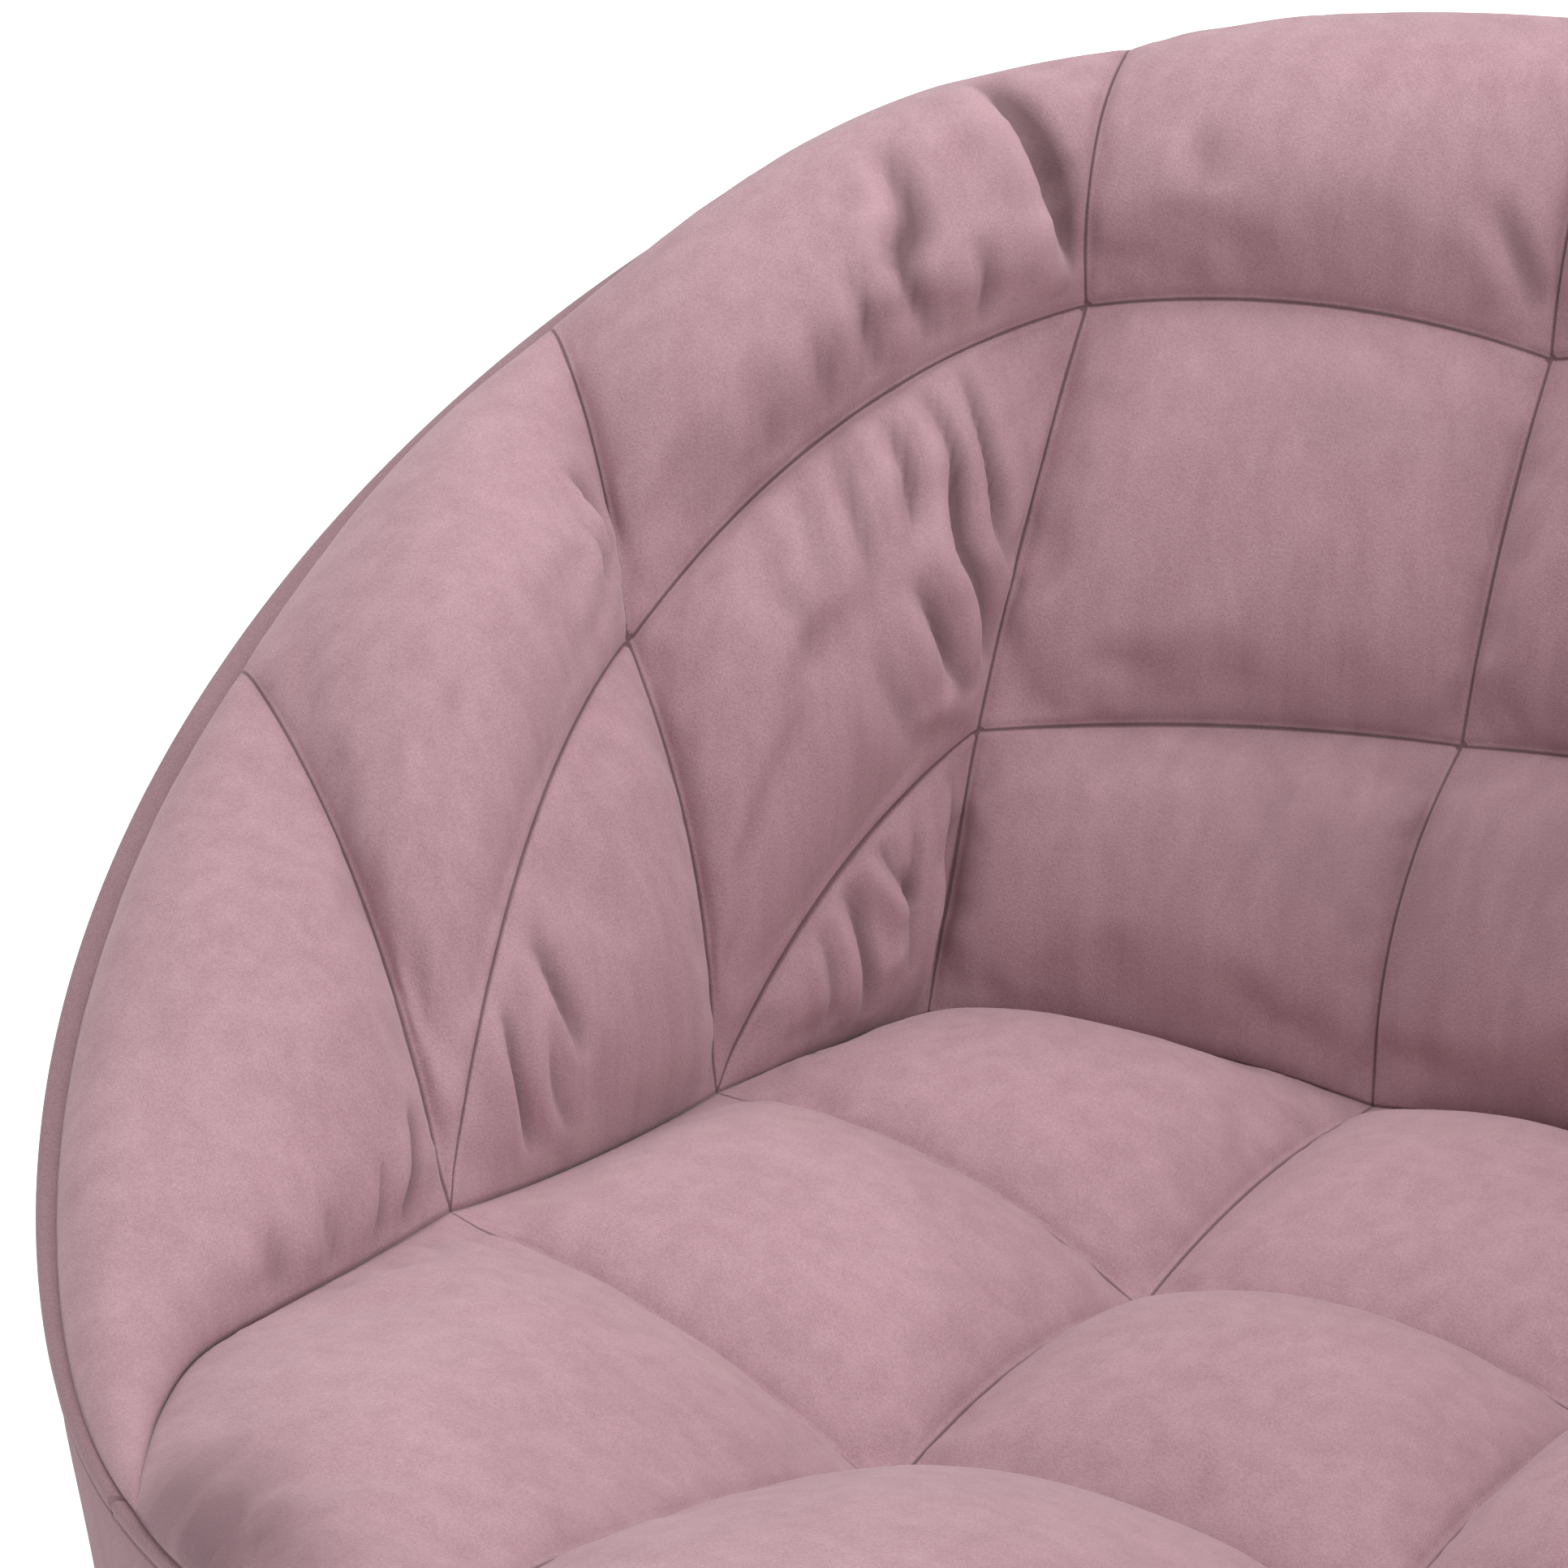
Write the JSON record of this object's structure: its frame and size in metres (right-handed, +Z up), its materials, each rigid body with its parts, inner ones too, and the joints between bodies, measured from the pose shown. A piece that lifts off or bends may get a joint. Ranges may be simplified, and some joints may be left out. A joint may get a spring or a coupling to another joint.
{
  "type": "glider chair",
  "caption": "Padded barrel armchair with biscuit-tufted seat and back, gliding on hung links over a ring swivel base.",
  "frame": {"origin": "on the floor under the middle of the chair", "axes": "+Z up; the chair faces -Y; +X to the right as seen from the front; left and right in names are as seen from the front"},
  "size_m": [0.8767, 0.8821, 0.775],
  "materials": {
    "velvet": "short-pile velvet, dusty rose, soft sheen",
    "velvet_outer": "short-pile velvet, dusty rose, in shade",
    "velvet_band": "velvet welt with a stitched fold",
    "plywood": "sanded birch plywood, unlacquered",
    "black_steel": "matt black powder coat",
    "zinc_steel": "bright zinc plate",
    "spring_wire": "oiled spring wire",
    "nylon": "moulded black nylon",
    "felt": "grey needled felt",
    "dust_cloth": "black non-woven cloth"
  },
  "bodies": {
    "base": {"base_ring": "black_steel", "floor_pad_1": "nylon", "floor_pad_2": "nylon", "floor_pad_3": "nylon", "floor_pad_4": "nylon", "base_arm_1": "black_steel", "base_arm_2": "black_steel", "base_arm_3": "black_steel", "base_arm_4": "black_steel", "base_plate": "black_steel", "bearing_lower_plate": "zinc_steel", "swivel_pin": "zinc_steel", "swivel_nut": "zinc_steel"},
    "ball_set": {"ball_cage": "nylon", "bearing_balls": "zinc_steel"},
    "turntable": {"bearing_upper_plate": "zinc_steel", "cross_channel_front": "black_steel", "cross_channel_rear": "black_steel", "glide_bracket_left": "black_steel", "glide_bracket_right": "black_steel", "upper_pin_front_left": "zinc_steel", "upper_pin_front_right": "zinc_steel", "upper_pin_rear_left": "zinc_steel", "upper_pin_rear_right": "zinc_steel"},
    "link_front_left": {"link_front_left": "zinc_steel"},
    "link_front_right": {"link_front_right": "zinc_steel"},
    "link_rear_left": {"link_rear_left": "zinc_steel"},
    "link_rear_right": {"link_rear_right": "zinc_steel"},
    "chair": {"hanger_bracket_left": "black_steel", "hanger_bracket_right": "black_steel", "lower_pin_front_left": "zinc_steel", "lower_pin_front_right": "zinc_steel", "lower_pin_rear_left": "zinc_steel", "lower_pin_rear_right": "zinc_steel", "crossbeam_front": "black_steel", "crossbeam_rear": "black_steel", "deck_ring": "plywood", "frame_bolts": "zinc_steel", "seat_springs": "spring_wire", "insulator_pad": "felt", "bottom_ring": "plywood", "dust_cover": "dust_cloth", "top_rail": "plywood", "rib_1": "plywood", "rib_2": "plywood", "rib_3": "plywood", "rib_4": "plywood", "rib_5": "plywood", "rib_6": "plywood", "shell_panel_front": "plywood", "shell_panel_right": "plywood", "shell_panel_back": "plywood", "shell_panel_left": "plywood", "outer_cover": "velvet_outer", "edge_band": "velvet_band", "front_band": "velvet_band", "arm_pad_left": "velvet", "arm_pad_right": "velvet", "back_pad": "velvet", "seat_pad": "velvet"}
  },
  "joints": [
    {"name": "swivel_turn", "type": "hinge", "parent": "base", "child": "turntable", "pos_m": [0, 0, 0.061], "axis": [0, 0, 1], "continuous": true},
    {"name": "ball_roll", "type": "hinge", "parent": "base", "child": "ball_set", "pos_m": [0, 0, 0.061], "axis": [0, 0, 1], "continuous": true},
    {"name": "glide", "type": "hinge", "parent": "turntable", "child": "link_front_left", "pos_m": [-0.1585, -0.1, 0.225], "axis": [1, 0, 0], "range_deg": [-22, 22]},
    {"name": "glide_front_right", "type": "hinge", "parent": "turntable", "child": "link_front_right", "pos_m": [0.1585, -0.1, 0.225], "axis": [1, 0, 0], "range_deg": [-22, 22]},
    {"name": "glide_rear_left", "type": "hinge", "parent": "turntable", "child": "link_rear_left", "pos_m": [-0.1585, 0.1, 0.225], "axis": [1, 0, 0], "range_deg": [-22, 22]},
    {"name": "glide_rear_right", "type": "hinge", "parent": "turntable", "child": "link_rear_right", "pos_m": [0.1585, 0.1, 0.225], "axis": [1, 0, 0], "range_deg": [-22, 22]},
    {"name": "seat_level", "type": "hinge", "parent": "link_front_left", "child": "chair", "pos_m": [-0.1585, -0.1, 0.095], "axis": [1, 0, 0], "range_deg": [-22, 22]}
  ],
  "couplings": [
    {"joint": "ball_roll", "follows": "swivel_turn", "ratio": 0.5},
    {"joint": "glide_front_right", "follows": "glide", "ratio": 1},
    {"joint": "glide_rear_left", "follows": "glide", "ratio": 1},
    {"joint": "glide_rear_right", "follows": "glide", "ratio": 1},
    {"joint": "seat_level", "follows": "glide", "ratio": -1}
  ]
}
